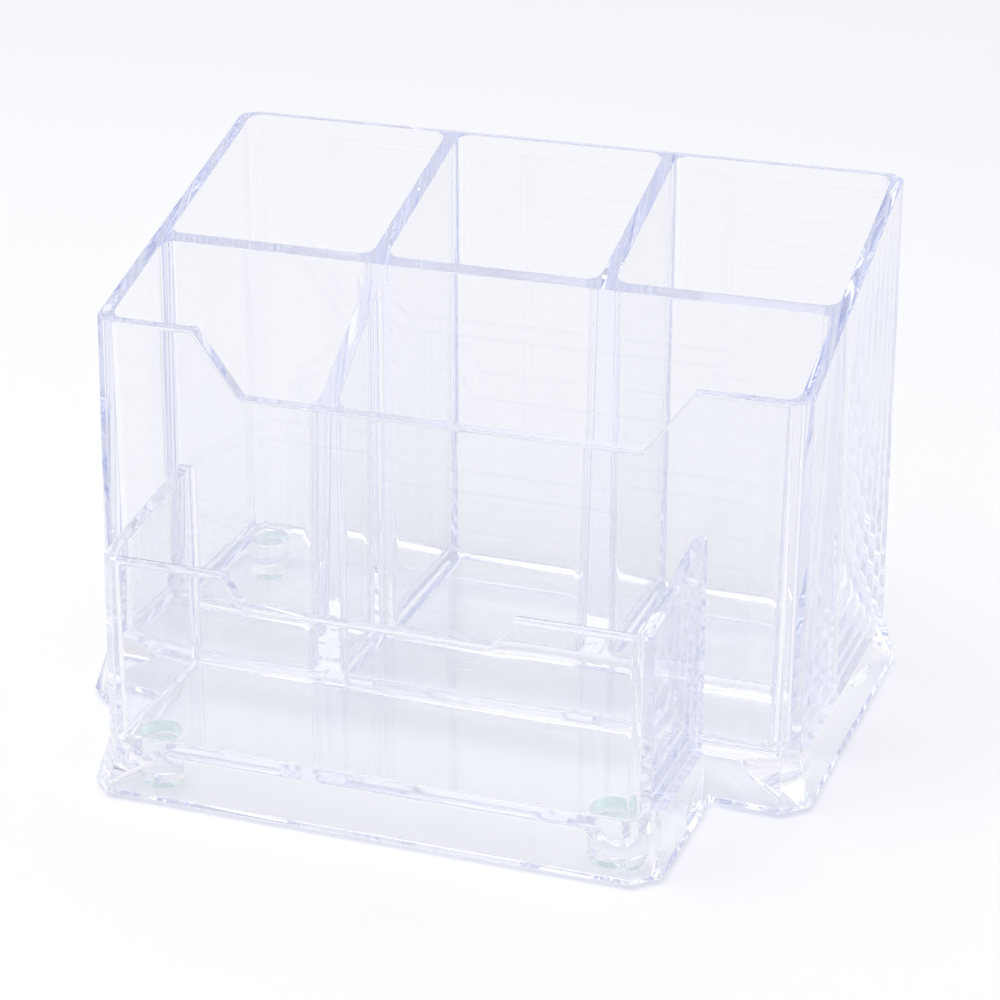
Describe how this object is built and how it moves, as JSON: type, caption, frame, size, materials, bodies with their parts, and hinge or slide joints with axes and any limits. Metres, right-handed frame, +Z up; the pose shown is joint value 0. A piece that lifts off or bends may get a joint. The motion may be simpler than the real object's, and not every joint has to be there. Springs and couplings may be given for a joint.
{
  "type": "pen holder",
  "caption": "Clear desktop pen holder moulded in one piece, with sloping walls, open compartments in stepped rows, a low front tray and a flared plinth on small round feet.",
  "frame": {"origin": "at table level, under the middle of the whole footprint", "axes": "+X to the right as seen by someone who faces the tray, +Y towards the tall back wall, +Z up"},
  "size_m": [0.1714, 0.1344, 0.1197],
  "materials": {
    "clear_plastic": "clear, polished",
    "clear_foot": "clear, smooth"
  },
  "bodies": {
    "root": {"organizer_body": "clear_plastic", "foot_front_left": "clear_foot", "foot_front_right": "clear_foot", "foot_rear_left": "clear_foot", "foot_rear_right": "clear_foot"}
  },
  "joints": []
}
